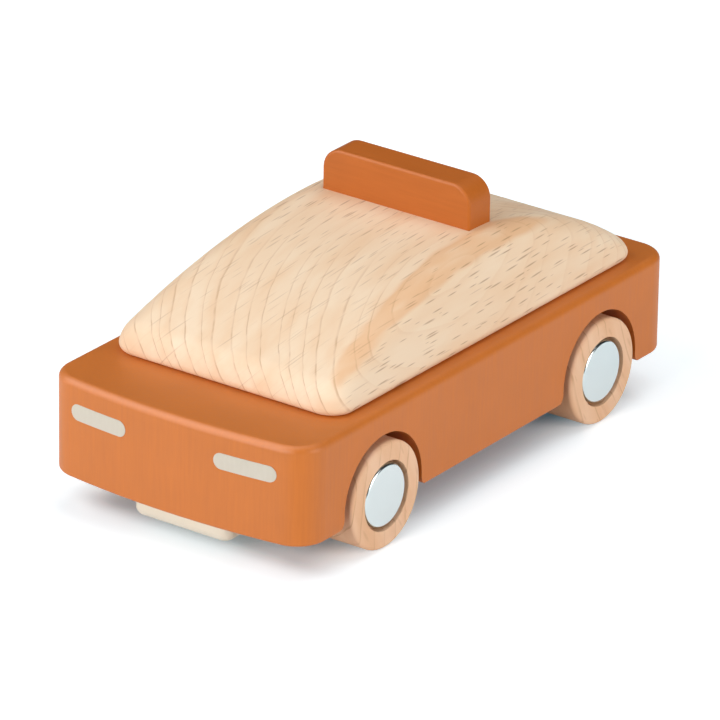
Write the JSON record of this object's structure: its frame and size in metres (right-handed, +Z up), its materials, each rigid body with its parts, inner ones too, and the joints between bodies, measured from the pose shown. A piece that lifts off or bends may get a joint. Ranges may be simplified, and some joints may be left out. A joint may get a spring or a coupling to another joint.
{
  "type": "toy taxi",
  "caption": "Push-along wooden toy taxi with an arched cabin, a roof sign and a pull-back motor driving its front axle.",
  "frame": {"origin": "on the floor under the middle of the painted block, where the wheels stand", "axes": "+Z up, the car faces -Y, so its length lies along Y and its axles along X; its left side is +X"},
  "size_m": [0.087, 0.1712, 0.076],
  "materials": {
    "painted_beech": "satin paint",
    "oiled_beech": "oiled, satin",
    "wheel_beech": "oiled, satin",
    "dowel_beech": "raw",
    "print_grey": "printed ink film",
    "cap_steel": "zinc-plated, polished",
    "rod_steel": "drawn bright",
    "screw_steel": "zinc-plated",
    "case_plastic": "moulded, satin",
    "bearing_plastic": "moulded, satin",
    "gear_plastic": "moulded, smooth",
    "spring_steel": "blued"
  },
  "bodies": {
    "car": {"body_block": "painted_beech", "cabin": "oiled_beech", "taxi_sign": "painted_beech", "cabin_dowels": "dowel_beech", "sign_dowels": "dowel_beech", "headlight_left": "print_grey", "headlight_right": "print_grey", "rear_bearing_left": "bearing_plastic", "rear_bearing_right": "bearing_plastic", "bearing_screws": "screw_steel", "motor_case_lower": "case_plastic", "motor_case_upper": "case_plastic", "motor_screws": "screw_steel", "mainspring": "spring_steel", "lay_pin": "rod_steel"},
    "front_wheels": {"front_axle": "rod_steel", "axle_pinion": "gear_plastic", "wheel_front_left": "wheel_beech", "wheel_front_right": "wheel_beech", "hub_cap_front_left": "cap_steel", "hub_cap_front_right": "cap_steel"},
    "rear_wheels": {"rear_axle": "rod_steel", "wheel_rear_left": "wheel_beech", "wheel_rear_right": "wheel_beech", "hub_cap_rear_left": "cap_steel", "hub_cap_rear_right": "cap_steel"},
    "compound_gear": {"compound_gear": "gear_plastic"},
    "spring_gear": {"spring_gear": "gear_plastic"}
  },
  "joints": [
    {"name": "front_axle_spin", "type": "hinge", "parent": "car", "child": "front_wheels", "pos_m": [0, -0.04865, 0.015], "axis": [1, 0, 0], "continuous": true},
    {"name": "rear_axle_spin", "type": "hinge", "parent": "car", "child": "rear_wheels", "pos_m": [0, 0.05135, 0.015], "axis": [1, 0, 0], "continuous": true},
    {"name": "compound_gear_spin", "type": "hinge", "parent": "car", "child": "compound_gear", "pos_m": [0, -0.05765, 0.015], "axis": [1, 0, 0], "continuous": true},
    {"name": "spring_gear_spin", "type": "hinge", "parent": "car", "child": "spring_gear", "pos_m": [0, -0.06715, 0.015], "axis": [1, 0, 0], "continuous": true}
  ],
  "couplings": [
    {"joint": "compound_gear_spin", "follows": "front_axle_spin", "ratio": -0.5},
    {"joint": "spring_gear_spin", "follows": "front_axle_spin", "ratio": 0.17857}
  ]
}
